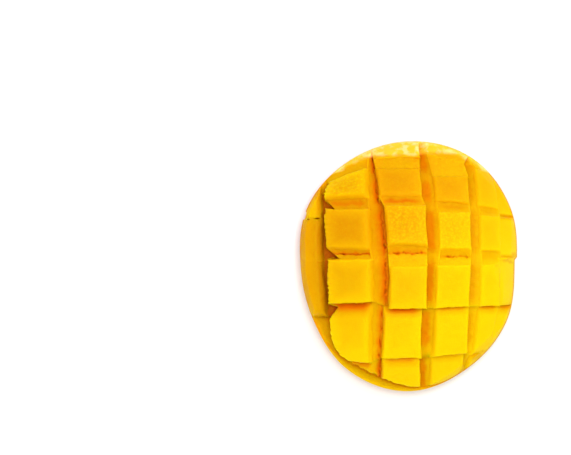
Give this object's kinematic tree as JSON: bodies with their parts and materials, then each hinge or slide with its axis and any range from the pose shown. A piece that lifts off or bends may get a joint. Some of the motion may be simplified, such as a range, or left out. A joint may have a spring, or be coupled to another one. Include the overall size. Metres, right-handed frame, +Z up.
{
  "type": "cubed mango half",
  "caption": "Half of a ripe mango, scored in a grid and pushed open so that its blocks of flesh stand apart over the peel, lying peel down.",
  "frame": {"origin": "middle of the flat spot under the peel that the half rests on, under the middle of its box", "axes": "+Z up out of the blocks of flesh, +Y along the fruit, +X across it"},
  "size_m": [0.0956, 0.1106, 0.0318],
  "materials": {
    "flesh": "moist orange-yellow mango flesh, soft sheen",
    "skin": "smooth waxy mango peel, yellow with a red blush"
  },
  "bodies": {
    "root": {"mango_half": "flesh"}
  },
  "joints": []
}
